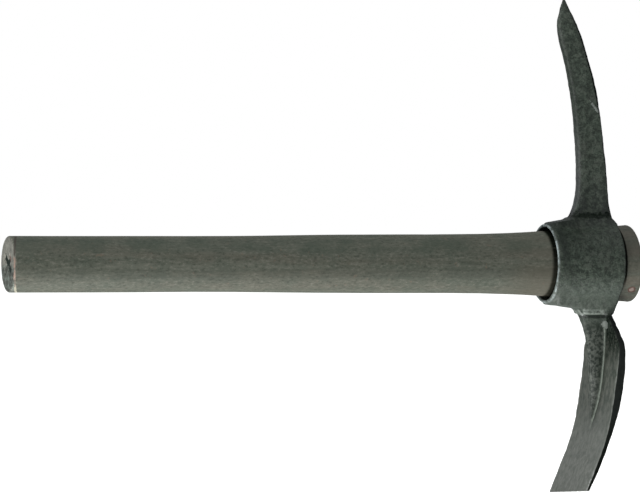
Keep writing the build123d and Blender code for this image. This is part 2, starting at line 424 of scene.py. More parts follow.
class Field:
    """A node's distance field on a regular grid, negative inside, with its coordinates."""

    def __init__(self, node):
        points, triangles = cad_mesh(node)
        self.transform = vdb.createLinearTransform(voxelSize=VOXEL)
        grid = vdb.FloatGrid.createLevelSetFromPolygons(
            points, triangles=triangles, transform=self.transform, halfWidth=float(TRUE_VOXELS)
        )
        self.low, high = grid.evalActiveVoxelBoundingBox()
        self.exact = np.empty([b - a + 1 for a, b in zip(self.low, high)], np.float32)
        grid.copyToArray(self.exact, ijk=self.low)
        axes = [(a + np.arange(n, dtype=np.float32)) * VOXEL for a, n in zip(self.low, self.exact.shape)]
        self.x = axes[0][:, None, None]
        self.y = axes[1][None, :, None]
        self.z = axes[2][None, None, :]
        self.radius = np.sqrt(self.y * self.y + self.z * self.z)
        self.values = self.exact

    def noise(self, rng, size):
        """Soft unevenness with a spread of 1, whose bumps are about size across."""
        rough = blur(rng.standard_normal(self.exact.shape, dtype=np.float32), size / 2)
        return rough / rough.std()

    def slopes(self):
        return [part.astype(np.float32) for part in np.gradient(self.values, VOXEL)]

    def mesh(self):
        """Points and quads of the surface, with each point pulled onto it."""
        grid = vdb.FloatGrid(TRUE_VOXELS * VOXEL)
        grid.transform = self.transform
        grid.copyFromArray(self.values, ijk=self.low)
        points, quads = grid.convertToQuads()
        slopes = self.slopes()
        for _ in range(2):
            slope = np.stack([self.at(points, part) for part in slopes], axis=1)
            length = np.maximum((slope ** 2).sum(axis=1), 0.25)
            step = np.clip(self.at(points, self.values) / length, -0.3 * VOXEL, 0.3 * VOXEL)
            points = points - slope * step[:, None]
        return points, quads[:, ::-1]

    def at(self, points, values):
        """Values of another field on the same grid, at points."""
        place = points / VOXEL - np.array(self.low)
        base = np.clip(np.floor(place).astype(int), 0, np.array(values.shape) - 2)
        share = place - base
        total = 0.0
        for corner in np.ndindex(2, 2, 2):
            weight = np.prod(np.where(corner, share, 1.0 - share), axis=1)
            index = base + np.array(corner)
            total = total + weight * values[index[:, 0], index[:, 1], index[:, 2]]
        return total


def soften(field, thin):
    """Rounds outer edges and fills inner corners, except where the metal is thin."""
    x, z, exact = field.x, field.z, field.exact
    filled = blend(ramp(z, *RIB_TOP_Z), blur(exact, EYE_FILLET), blur(exact, RIB_FILLET))
    inner_pick = ramp(z, *PICK_INNER_Z) * ramp(x, *PICK_INNER_X)
    rounded = blend(inner_pick, blur(exact, EDGE_SOFTNESS), blur(exact, PICK_SOFTNESS))
    soft = np.minimum(rounded, filled) - PICK_GROWTH * inner_pick
    collar = band(x, *COLLAR_X) * ramp(field.radius, *COLLAR_RADIUS)
    soft = blend(collar, soft, blur(exact, COLLAR_SOFTNESS, axes=(0,)) - COLLAR_GROWTH)
    return blend(thin, soft, exact) - BLUNT_EDGE * ramp(z, *THIN_BLADE_Z)


def unevenness(field, thin):
    """Lumps of the forging, and the eye's wall a little wider."""
    rng = np.random.default_rng(SEED)
    rough = np.zeros_like(field.exact)
    for size, height in LUMPS:
        rough += height * field.noise(rng, size)
    in_bore = ramp(field.radius, *BORE_RADIUS)
    return rough * (1.0 - THIN_CALM * thin) * (1.0 - in_bore) + BORE_PLAY * in_bore


def hammer_lines(field):
    """The crease at the pick's root, the ledge above the adze's neck and the line at the rib's foot."""
    x, y, z = field.x, np.abs(field.y), field.z
    lines = sum(depth * hump(z, height, width) * band(x, *span) for height, width, depth, span in HAMMERED)
    foot = y - np.interp(z.ravel(), FOOT_Z, FOOT_HALF)[None, None, :]
    groove = sum(depth * hump(foot, 0.0, width) for width, depth in FOOT_GROOVE)
    return lines * ramp(y, *CHEEK_Y) + groove * band(z, *RIB_Z) * ramp(x, *RIB_INNER_X)


def dents(field):
    total = np.zeros_like(field.exact)
    for x, y, z, radius, depth in DENTS:
        reach = ((field.x - x) ** 2 + (field.y - y) ** 2 + (field.z - z) ** 2) / radius ** 2
        total += depth * np.exp(-2.0 * reach)
    return total


def wear_edge(field, values):
    """Cuts the cutting edge off at its slant and takes the nicks out of it."""
    edge_z = CAD_LOW.z / MM + (CAD_HIGH.y / MM - field.y) * EDGE_SLANT
    values = np.maximum(values, edge_z - field.z)
    for nick_y, radius in EDGE_NICKS:
        reach = np.sqrt((field.y - nick_y) ** 2 + (field.z - edge_z + NICK_SINK * radius) ** 2)
        values = np.maximum(values, radius - reach)
    return values


def bend(field, points, size, full):
    """Above 0 on outer edges and below 0 in corners, from how far a blur moves the surface."""
    return field.at(points, blur(field.exact, size) - field.exact) / full


def head_shares(field, thin, points):
    """What the paint needs to know at each point, mostly as shares from 0 to 1."""
    x, y, z = points.T
    thick = 1.0 - field.at(points, np.broadcast_to(thin, field.exact.shape))
    edge = np.clip(bend(field, points, *EDGE_LOOK), -1.0, 1.0) * thick
    corner = np.clip(-bend(field, points, *CORNER_LOOK), 0.0, 1.0) * thick
    slope = [field.at(points, part) for part in field.slopes()]
    steep = np.sqrt(sum(part ** 2 for part in slope))
    facing = -slope[0] / steep
    foot = np.abs(y) - np.interp(z, FOOT_Z, FOOT_HALF)
    on_rib = band(z, *RIB_LOOK_Z) * ramp(facing, -0.1, 0.2)
    near_rib = on_rib * np.where(y > 0.0, FAR_RIB_SHARE, 1.0)
    beside_rib = 0.95 * hump(foot, 0.0, np.where(foot > 0.0, RIB_SHADE[1], RIB_SHADE[0])) * near_rib
    return {
        "worn": edge * (1.0 - hump(x, *UNWORN_STRIP)),
        # where painted shade goes: inner corners and beside the rib's foot line
        "corner_shade": np.maximum(corner, beside_rib),
        "lip": ramp(x - LIP_LEAN * ramp(z, *LIP_LEAN_Z), *LIP_X),
        "facing": facing,  # 1 where the surface looks towards the grip, -1 where it looks away
        "flank": np.abs(slope[1]) / steep,  # 1 where it looks to either side
        # where the painted highlight in the groove at the rib's foot goes
        "valley": hump(foot, 0.0, FOOT_GROOVE[0][0]) * near_rib * ramp(facing, 0.45, 0.85),
        "rib": ramp(foot, *RIB_LOOK_HALF) * on_rib,
    }


def forge_head():
    """The CAD head with rounded edges, filled corners and the unevenness of a painted forging."""
    field = Field("head")
    thin = np.maximum(ramp(field.z, *THIN_BLADE_Z), ramp(field.z, *THIN_POINT_Z))
    shaped = soften(field, thin) + unevenness(field, thin) + hammer_lines(field) + dents(field)
    field.values = wear_edge(field, shaped).astype(np.float32)
    points, quads = field.mesh()
    return make_mesh("forged_head", points, quads, head_shares(field, thin, points))


# ---- the helve's shape ----
def helve_profile():
    """Radius of the CAD helve along its length, and its end plane x = end + tilt * z."""
    points, _ = cad_mesh("helve")
    radius = np.hypot(points[:, 1], points[:, 2])
    top = points[:, 0].max()
    side = (points[:, 0] > BUTT_MARGIN) & (points[:, 0] < top - TOP_MARGIN) & (radius > SIDE_MIN_R)
    order = np.argsort(points[side, 0])
    xs, rs = points[side, 0][order], radius[side][order]
    face = (points[:, 0] > top - TOP_FACE_DEPTH) & (radius > FACE_MIN_R)
    tilt, end = np.polyfit(points[face, 2], points[face, 0], 1)
    slope = (rs[-1] - np.interp(xs[-1] - FLARE_LENGTH, xs, rs)) / FLARE_LENGTH

    def radius_at(x):
        return np.interp(x, xs, rs) + np.maximum(x - xs[-1], 0.0) * slope

    return radius_at, end, tilt


def helve_rings(radius_at, length):
    """x, radius and share of the end face for each ring, over butt, rim, side, rim and top."""
    quarter = np.linspace(0.0, math.pi / 2, RIM_STEPS + 1)
    butt_r = radius_at(0.0)
    top_r = radius_at(length)
    rings = [(0.0, r, 1.0) for r in np.arange(CAP_STEP, butt_r - RIM_RADIUS, CAP_STEP)]
    for a in quarter:
        inwards = RIM_RADIUS * (1 - math.sin(a))
        rings.append((RIM_RADIUS * (1 - math.cos(a)), butt_r - inwards, 1.0 - a / quarter[-1]))
    steps = np.linspace(RIM_RADIUS, length - RIM_RADIUS, round(length / SIDE_STEP))[1:-1]
    rings += [(x, float(radius_at(x)), 0.0) for x in steps]
    for a in quarter:
        inwards = RIM_RADIUS * (1 - math.cos(a))
        rings.append((length - RIM_RADIUS * (1 - math.sin(a)), top_r - inwards, a / quarter[-1]))
    rings += [(length, r, 1.0) for r in np.arange(top_r - RIM_RADIUS, 0.0, -CAP_STEP)[1:]]
    return np.array(rings)


def perlin(points, scale, offset):
    """Perlin noise at points, where scale is cycles per millimetre along each axis."""
    return np.array([noise.noise(Vector(p)) for p in points * np.array(scale) + offset])


def wood_relief(points, x, r, angle):
    """How far each point of the helve stands out: slow waves, raised grain and dents."""
    push = sum(height * perlin(points, scale, offset) for height, scale, offset in RELIEF) * ramp(r, *CALM_R)
    for dent_x, degrees, length, width, depth in HELVE_DENTS:
        turn = (angle - math.radians(degrees) + math.pi) % (2 * math.pi) - math.pi
        push -= depth * np.exp(-(((x - dent_x) / length) ** 2) - ((turn * r / width) ** 2))
    return blend(band(x, *EYE_SEAT_X), push, -SEAT_PLAY)


def spur_mark(points, r):
    """1 in the cross-shaped mark of a lathe's drive spur and in the hole at its centre."""
    mark = 1.0 - ramp(r, SPUR_HOLE * 0.6, SPUR_HOLE * 1.3)
    for arm in (math.radians(SPUR_ANGLE), math.radians(-SPUR_ANGLE)):
        along = np.abs(points[:, 1] * math.cos(arm) + points[:, 2] * math.sin(arm))
        beside = np.abs(points[:, 2] * math.cos(arm) - points[:, 1] * math.sin(arm))
        across = ramp(beside, SPUR_HALF_WIDTH * 1.5, SPUR_HALF_WIDTH * 0.5)
        mark = np.maximum(mark, across * ramp(along, SPUR_ARM + 0.4, SPUR_ARM - 0.8))
    return mark


def ring_quads(rows):
    """Quads between neighbouring rings."""
    i = np.arange((rows - 1) * AROUND)
    follow = (i % AROUND + 1) % AROUND + (i // AROUND) * AROUND
    return np.stack([i, i + AROUND, follow + AROUND, follow], axis=1)


def close_caps(obj):
    """Fills the small holes left at the centre of both end faces."""
    work = bmesh.new()
    work.from_mesh(obj.data)
    loops = [edge for edge in work.edges if edge.is_boundary]
    bmesh.ops.holes_fill(work, edges=loops, sides=AROUND)
    bmesh.ops.recalc_face_normals(work, faces=work.faces)
    work.to_mesh(obj.data)
    work.free()
    obj.data.shade_smooth()


def turn_helve():
    """The helve as rings of points, with wavy wood, worn rims and the spur's mark in its butt."""
    radius_at, length, tilt = helve_profile()
    ring = helve_rings(radius_at, length)
    x, r, cap = (np.repeat(column, AROUND) for column in ring.T)
    angle = np.tile(np.arange(AROUND) * 2 * math.pi / AROUND, len(ring))
    points = np.stack([x, r * np.cos(angle), r * np.sin(angle)], axis=1)

    on_side = (cap == 0.0).astype(float)
    push = wood_relief(points, x, r, angle) / np.maximum(r, 1.0) * np.maximum(on_side, ramp(r, *CALM_R))
    points[:, 1] *= 1.0 + push
    points[:, 2] *= 1.0 + push

    butt = cap * (x < length / 2)
    top = cap * (x > length / 2)
    mark = spur_mark(points, r)
    points[:, 0] += butt * SPUR_DEPTH * mark
    height, scale, offset = END_RELIEF
    end_grain = height * (perlin(points, scale, offset) + 0.4)
    points[:, 0] += butt * end_grain
    points[:, 0] += tilt * points[:, 2] * ramp(x, length - TILT_LENGTH, length)
    points[:, 0] -= top * end_grain

    rim = hump(cap, 0.5, 0.3) * (cap > 0.0) * (cap < 1.0)
    shares = {"cap": cap, "rim": rim, "spur": mark * butt}
    helve = make_mesh("turned_helve", points, ring_quads(len(ring)), shares)
    close_caps(helve)
    return helve


# ---- materials ----
class Paint:
    """Short calls that build a node material, with places in millimetres and tones by name."""

    def __init__(self, name, tones):
        self.tones = tones
        self.material = bpy.data.materials.new(name)
        self.material.use_nodes = True
        self.tree = self.material.node_tree
        self.tree.nodes.clear()
        output = self.node("OutputMaterial")
        self.shader = self.node("BsdfPrincipled")
        self.tree.links.new(self.shader.outputs["BSDF"], output.inputs["Surface"])
        self.where = self.node("TexCoord").outputs["Object"]
        split = self.node("SeparateXYZ")
        self.put(split.inputs[0], self.where)
        self.x, self.y, self.z = (self.times(split.outputs[axis], 1.0 / MM) for axis in "XYZ")
        self.base = None

    def node(self, kind):
        return self.tree.nodes.new("ShaderNode" + kind)

    def put(self, socket, value):
        if isinstance(value, str):
            value = self.tones[value]
        if isinstance(value, bpy.types.NodeSocket):
            self.tree.links.new(value, socket)
        elif isinstance(value, tuple):
            socket.default_value = (*value, 1.0)
        else:
            socket.default_value = value

    def math(self, operation, a, b=0.0):
        node = self.node("Math")
        node.operation = operation
        self.put(node.inputs[0], a)
        self.put(node.inputs[1], b)
        return node.outputs[0]

    def chain(self, operation, first, *others):
        total = first
        for other in others:
            total = self.math(operation, total, other)
        return total

    def times(self, *values):
        return self.chain("MULTIPLY", *values)

    def plus(self, *values):
        return self.chain("ADD", *values)

    def most(self, *values):
        return self.chain("MAXIMUM", *values)

    def less(self, value):
        """What is left of 1."""
        return self.math("SUBTRACT", 1.0, value)

    def off(self, value, centre):
        """Distance of a value from its centre."""
        return self.math("ABSOLUTE", self.math("SUBTRACT", value, centre))

    def noise(self, scale, stretch=(1.0, 1.0, 1.0), detail=3.0, rough=0.55, shift=0.0):
        """Noise from 0 to 1 with its pattern stretched along the axes."""
        mapping = self.node("Mapping")
        mapping.inputs["Scale"].default_value = stretch
        mapping.inputs["Location"].default_value = (shift, shift, shift)
        self.put(mapping.inputs["Vector"], self.where)
        node = self.node("TexNoise")
        node.inputs["Scale"].default_value = scale
        node.inputs["Detail"].default_value = detail
        node.inputs["Roughness"].default_value = rough
        self.put(node.inputs["Vector"], mapping.outputs[0])
        return node.outputs["Fac"]

    def spread(self, value, low, high, to_low=0.0, to_high=1.0):
        """Maps low..high to to_low..to_high, smoothly and clamped."""
        node = self.node("MapRange")
        node.interpolation_type = "SMOOTHSTEP"
        self.put(node.inputs["Value"], value)
        for key, number in zip(("From Min", "From Max", "To Min", "To Max"), (low, high, to_low, to_high)):
            node.inputs[key].default_value = number
        return node.outputs["Result"]

    def band(self, value, start, full, fade, end):
        """0 outside start and end, 1 between full and fade."""
        return self.times(self.spread(value, start, full), self.spread(value, end, fade))

    def mix(self, share, a, b):
        node = self.node("Mix")
        node.data_type = "RGBA"
        self.put(node.inputs["Factor"], share)
        self.put(node.inputs[6], a)
        self.put(node.inputs[7], b)
        return node.outputs[2]

    def coat(self, share, tone):
        """Lays a tone over what is there so far."""
        self.base = self.mix(share, self.base, tone)

    def fleck(self, pattern, low, high, share, tone):
        """Lays a tone where a pattern goes past low, and up to a share of it from high on."""
        self.coat(self.spread(pattern, low, high, 0.0, share), tone)

    def attribute(self, name):
        node = self.node("Attribute")
        node.attribute_name = name
        return node.outputs["Fac"]

    def spot(self, centre, size):
        """1 at a point, falling to 0 at size from it."""
        node = self.node("VectorMath")
        node.operation = "DISTANCE"
        self.put(node.inputs[0], self.where)
        node.inputs[1].default_value = Vector(centre) * MM
        return self.spread(node.outputs["Value"], 0.0, size * MM, 1.0, 0.0)

    def finish(self, roughness, specular, ior, metallic=0.0):
        names = ("Base Color", "Roughness", "Specular IOR Level", "IOR", "Metallic")
        for name, value in zip(names, (self.base, roughness, specular, ior, metallic)):
            self.put(self.shader.inputs[name], value)
        return self.material

    def bump(self, *layers):
        """Stacks bump layers of (height, strength, distance)."""
        normal = None
        for height, strength, distance in layers:
            node = self.node("Bump")
            node.inputs["Strength"].default_value = strength
            node.inputs["Distance"].default_value = distance * MM
            self.put(node.inputs["Height"], height)
            if normal is not None:
                self.put(node.inputs["Normal"], normal)
            normal = node.outputs["Normal"]
        self.put(self.shader.inputs["Normal"], normal)


class HeadPaint(Paint):
    """Dark olive paint on forged steel: mottled, rubbed on edges, thin and dusty down the adze."""

    def __init__(self):
        super().__init__("olive_forged", HEAD_TONES)
        self.beside = self.off(self.y, 0.0)
        self.worn = self.attribute("worn")
        self.rib = self.attribute("rib")
        self.flank = self.attribute("flank")
        self.facing = self.attribute("facing")
        self.grip_side = self.spread(self.facing, 0.45, 0.85)
        self.mottle = self.noise(480.0, detail=5.0, rough=0.68)
        self.blotch = self.noise(260.0, detail=5.0, rough=0.68, shift=14.0)
        self.grit = self.noise(1100.0, shift=3.0)
        self.lumps = self.noise(560.0, detail=2.0, shift=21.0)

    def lay_paint(self):
        """The coat itself, lighter below the eye, with painted shade on its upper half and behind its lip."""
        self.base = self.mix(self.spread(self.mottle, 0.35, 0.65), "paint_dark", "paint_light")
        self.fleck(self.grit, 0.52, 0.7, 0.75, "grit_light")
        self.fleck(self.grit, 0.47, 0.32, 0.8, "grit_dark")
        self.fleck(self.noise(60.0, shift=9.0), 0.5, 0.75, 0.3, "patch")
        self.fleck(self.blotch, 0.51, 0.62, 0.5, "blotch_light")
        self.fleck(self.blotch, 0.49, 0.38, 0.55, "blotch_dark")
        self.coat(self.times(self.band(self.z, *LIGHTER_LOW_Z), 0.28), "lighter_low")
        self.shaded = self.times(self.band(self.z, *SHADE_Z), self.spread(self.x, *SHADE_X, 0.22, 0.45))
        self.coat(self.shaded, "shade")
        upper = self.spread(self.z, *BEHIND_LIP_Z, 0.0, 0.6)
        self.coat(self.times(self.band(self.x, *BEHIND_LIP_X), upper), "shade")

    def wear_adze(self):
        """The adze rubbed smooth towards its edge, its speckled rib and the streaks beside the rib."""
        scuff = self.noise(1.0, stretch=(500.0, 420.0, 170.0), detail=4.0, shift=2.0)
        smooth = self.mix(self.spread(scuff, 0.3, 0.7), "scuff_dark", "scuff_light")
        smooth = self.mix(self.spread(self.grit, 0.5, 0.72, 0.0, 0.5), smooth, "scuff_grit")
        smooth = self.mix(self.spread(self.blotch, 0.52, 0.4, 0.0, 0.55), smooth, "scuff_blotch")
        smooth = self.mix(self.spread(self.z, *SCUFF_HIGH_Z), smooth, "scuff_high")
        broken = self.spread(self.plus(self.mottle, self.spread(self.z, *BROKEN_Z)), 0.5, 0.95)
        front = self.times(self.spread(self.z, *USED_Z), self.grip_side, broken)
        back = self.times(self.spread(self.facing, -0.5, -0.8), self.spread(self.z, *BACK_Z, 0.0, 0.8))
        self.used = self.most(front, self.times(back, self.spread(self.mottle, 0.38, 0.56, 0.3, 1.0)))
        self.coat(self.times(self.used, 0.92), smooth)
        speckled = self.mix(self.spread(self.lumps, 0.4, 0.62), "rib_dark", "rib_light")
        self.coat(self.times(self.rib, self.spread(self.z, *RIB_PAINT_Z, 0.1, 0.9)), speckled)
        wing = self.times(self.grip_side, self.less(self.rib), self.spread(self.z, *WING_Z))
        wing = self.times(wing, self.spread(self.z, *WING_FADE_Z, 0.0, 0.65))
        streak = self.noise(1.0, stretch=(330.0, 330.0, 150.0), detail=4.0, rough=0.65, shift=17.0)
        self.coat(wing, self.mix(self.spread(streak, 0.38, 0.62), "wing_dark", "wing_light"))

    def shade_pick(self):
        """Painted shade at the pick's root, in its crease, high on its grip side and on the sides that look
        away from the grip, and a purple painted light on its lit grip side.
        """
        root = self.times(self.band(self.z, *ROOT_SHADE_Z), self.spread(self.blotch, 0.44, 0.58, 0.9, 0.25))
        self.coat(root, "root")
        # painted shade on the sides that look away from the grip
        self.away = self.times(self.spread(self.facing, -0.2, -0.6), self.spread(self.flank, 0.1, 0.3))
        self.coat(self.times(self.away, 0.85), "away")
        # painted shade in the wandering crease at the pick's root
        wandering = self.plus(self.z, self.times(self.math("SUBTRACT", self.lumps, 0.5), CREASE_WANDER))
        self.crease = self.spread(self.off(wandering, CREASE_Z), 2.6, 0.8)
        self.crease = self.times(self.crease, self.spread(self.lumps, 0.36, 0.52, 1.0, 0.55))
        self.coat(self.times(self.crease, 0.9), "crease")
        # painted shade high on the pick's grip side, fading out near the tip
        high = self.times(self.spread(self.facing, 0.12, 0.4), self.spread(self.z, *HIGH_PICK_Z, 0.0, 0.34))
        self.high_pick = self.times(high, self.spread(self.z, *PICK_TIP_Z))
        self.coat(self.high_pick, "root")
        # painted light: a lighter purple tint on the pick's lit grip side, fading up the pick
        purple = self.times(self.spread(self.z, *PURPLE_Z), self.spread(self.z, *PURPLE_FADE_Z, 0.08, 0.6))
        purple = self.times(purple, self.grip_side, self.spread(self.lumps, 0.34, 0.6, 0.55, 1.0))
        self.coat(purple, "purple")

    def shade_adze(self):
        """Painted shade on the shoulder beside the rib, in inner corners and on the adze's side faces."""
        # painted shade on the near shoulder beside the rib's top
        shoulder = self.times(self.spread(self.y, *SHOULDER_Y), self.band(self.z, *SHOULDER_Z))
        self.shoulder = self.times(shoulder, self.spread(self.lumps, 0.42, 0.6, 1.0, 0.6))
        self.coat(self.shoulder, "shoulder")
        # Painted shade in inner corners and beside the rib's foot, weaker on the neck.
        on_neck = self.band(self.z, *NECK_Z)
        self.corner_shade = self.times(self.attribute("corner_shade"), self.spread(on_neck, 0.0, 1.0, 0.75, 0.42))
        self.coat(self.corner_shade, "corner_shade")
        # painted shade on the adze's side faces, deeper towards the cutting edge
        self.side_face = self.times(
            self.less(self.grip_side),
            self.spread(self.beside, *SIDE_FACE_Y),
            self.spread(self.z, *SIDE_FACE_Z),
            self.spread(self.flank, 0.12, 0.32),
        )
        side_tone = self.mix(self.spread(self.z, *SIDE_TONE_Z), "side_high", "side_low")
        self.coat(self.times(self.side_face, 0.92), side_tone)

    def rub_edges(self):
        """Paint rubbed off the adze's edges, with painted highlights on its near inner edge, near the cutting
        edge, in the groove at the rib's foot and on the rubbed ledge above the neck, and painted shade under
        the ledge.
        """
        patchy = self.spread(self.noise(330.0, shift=5.0), 0.36, 0.6, 0.25, 1.0)
        rub_and_highlight = self.times(
            self.spread(self.worn, 0.3, 0.75),
            self.spread(self.z, *RUB_Z, 0.08, 0.9),
            patchy,
            self.less(self.times(self.rib, 0.9)),
            self.less(self.side_face),
        )
        # painted highlight along the adze's near inner edge, close to the cutting edge
        rim = self.times(self.spread(self.beside, *RIM_Y), self.grip_side, self.spread(self.z, *RIM_Z))
        self.rub_and_highlight = self.most(rub_and_highlight, self.times(rim, self.spread(self.lumps, 0.42, 0.58, 0.1, 1.0)))
        # rubbed paint, turning to a painted highlight near the cutting edge
        self.coat(self.rub_and_highlight, self.mix(self.spread(self.z, *GLINT_Z), "rubbed", "glint"))
        corner_z = (CAD_LOW.z + CAD_HIGH.y * EDGE_SLANT) / MM
        above_edge = self.math("SUBTRACT", self.plus(self.z, self.times(self.y, EDGE_SLANT)), corner_z)
        self.coat(self.spread(above_edge, *EDGE_HEIGHT, 0.0, 0.5), "edge")
        # painted highlight in the groove along the rib's foot
        self.coat(self.times(self.attribute("valley"), self.spread(patchy, 0.0, 1.0, 0.6, 1.0)), "valley")
        # painted highlight on the rubbed edge of the ledge above the neck
        ledge = self.times(
            self.spread(self.worn, -0.3, 0.2),
            self.spread(self.off(self.z, LEDGE_PAINT_Z), 2.3, 1.1),
            self.spread(self.x, *LEDGE_PAINT_X),
            self.spread(self.lumps, 0.36, 0.56, 0.3, 0.9),
        )
        self.coat(ledge, "ledge")
        # painted shade in the groove under the ledge
        under = self.spread(self.off(self.z, UNDER_PAINT_Z), 1.4, 0.5, 0.0, 0.65)
        self.coat(self.times(under, self.spread(self.x, *UNDER_PAINT_X)), "under")

    def knock_off_paint(self):
        """Ragged spots of pale primer at the chips and along the gouges; the chip beside the rib's top is a
        painted highlight as well.
        """
        spots = [(centre, size, 0.8) for centre, size in CHIPS]
        for start, end, share in GOUGES:
            for i in range(GOUGE_STEPS):
                spots.append((Vector(start).lerp(Vector(end), i / (GOUGE_STEPS - 1)), GOUGE_SIZE, share))
        ragged = self.plus(self.times(self.grit, 0.7), self.times(self.mottle, 0.9))
        for centre, size, share in spots:
            chip = self.spread(self.plus(self.spot(centre, size), ragged), 1.12, 1.3)
            self.coat(self.times(chip, share), "chip")

    def bare_lip(self):
        """Bright metal on the collar's lip, duller at the top, on the lower side and at the foot."""
        self.bare = self.times(
            self.attribute("lip"),
            self.spread(self.noise(330.0, detail=4.0, shift=1.0), 0.36, 0.58, 0.12, 1.0),
            self.spread(self.z, *LIP_TOP_Z, 0.5, 0.85),
            self.spread(self.z, *LIP_SIDE_Z, 1.0, 0.64),
            self.spread(self.z, *LIP_FOOT_Z, 0.62, 1.0),
        )
        self.coat(self.bare, "bare")

    def build(self):
        self.lay_paint()
        self.wear_adze()
        self.shade_pick()
        self.shade_adze()
        self.rub_edges()
        self.knock_off_paint()
        self.bare_lip()
        shine = self.spread(self.mottle, 0.3, 0.7, 0.38, 0.54)
        # The painted shade, made matt so that it stays dark.
        matt = self.most(
            self.times(self.side_face, 0.7), self.away, self.corner_shade, self.crease,
            self.shoulder, self.high_pick, self.shaded,
        )
        relief = self.less(self.times(self.used, 0.75))
        self.bump((self.times(self.mottle, relief), 0.6, 0.6), (self.times(self.grit, relief), 0.5, 0.3))
        return self.finish(
            roughness=self.math("SUBTRACT", shine, self.times(self.rub_and_highlight, 0.12)),
            specular=0.45,
            ior=self.spread(matt, 0.0, 1.0, *GLOSSY_TO_MATT),
            metallic=self.times(self.bare, 0.3),
        )


